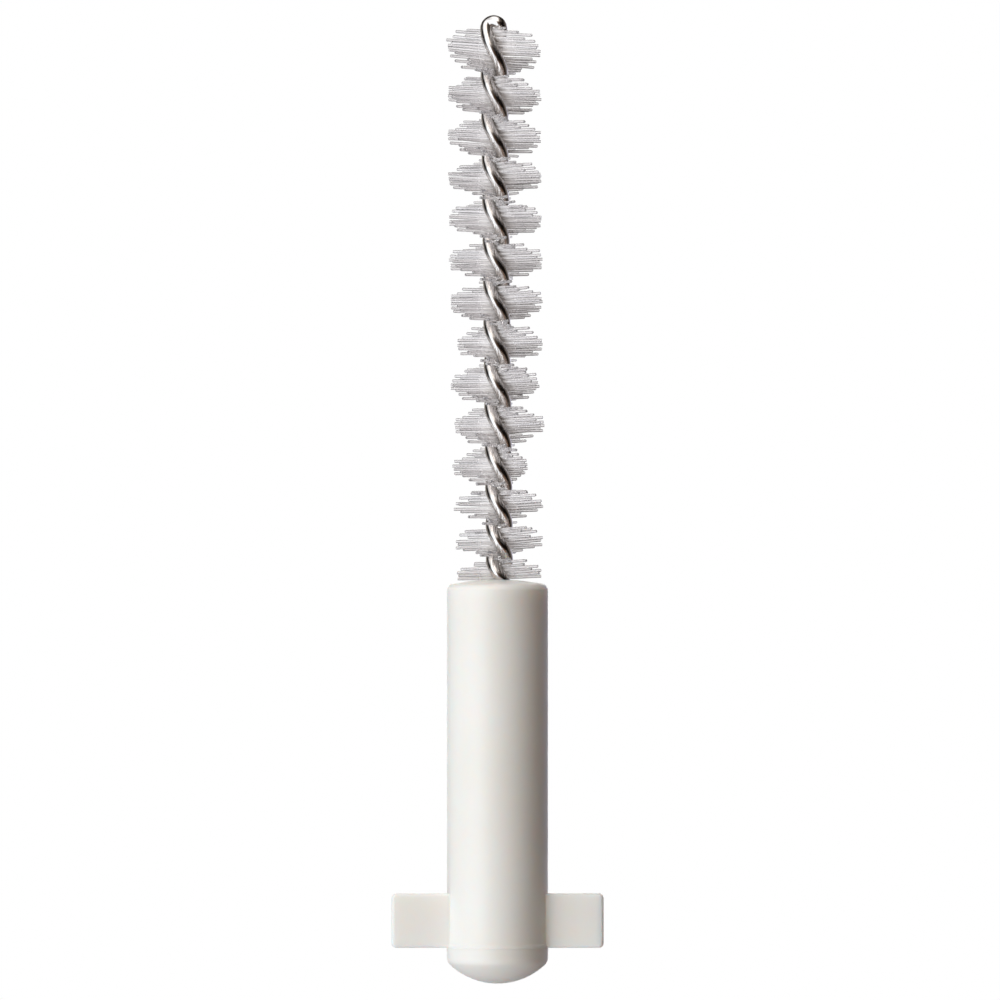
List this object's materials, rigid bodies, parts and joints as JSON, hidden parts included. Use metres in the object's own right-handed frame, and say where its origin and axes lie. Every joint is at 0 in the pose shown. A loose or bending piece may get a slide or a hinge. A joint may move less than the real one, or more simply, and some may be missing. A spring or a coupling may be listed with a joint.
{
  "type": "interdental brush refill",
  "caption": "Interdental brush head: twisted steel wire with rows of nylon filaments, moulded into a round plastic hub with two wings that seats in a handle.",
  "frame": {"origin": "on the shank's axis, level with the wings' upper faces, where a handle stops", "axes": "+Z along the brush from the hub to the tip, +X along the wings, +Y through their thickness"},
  "size_m": [0.0052, 0.0026, 0.0239],
  "materials": {
    "ivory_plastic": "moulded, satin, faintly translucent",
    "steel_wire": "drawn stainless wire",
    "nylon_filament": "clear white nylon monofilament"
  },
  "bodies": {
    "root": {"hub": "ivory_plastic", "wire_core": "steel_wire", "bristle_row_01": "nylon_filament", "bristle_row_02": "nylon_filament", "bristle_row_03": "nylon_filament", "bristle_row_04": "nylon_filament", "bristle_row_05": "nylon_filament", "bristle_row_06": "nylon_filament", "bristle_row_07": "nylon_filament", "bristle_row_08": "nylon_filament", "bristle_row_09": "nylon_filament", "bristle_row_10": "nylon_filament", "bristle_row_11": "nylon_filament", "bristle_row_12": "nylon_filament", "bristle_row_13": "nylon_filament", "bristle_row_14": "nylon_filament"}
  },
  "joints": []
}
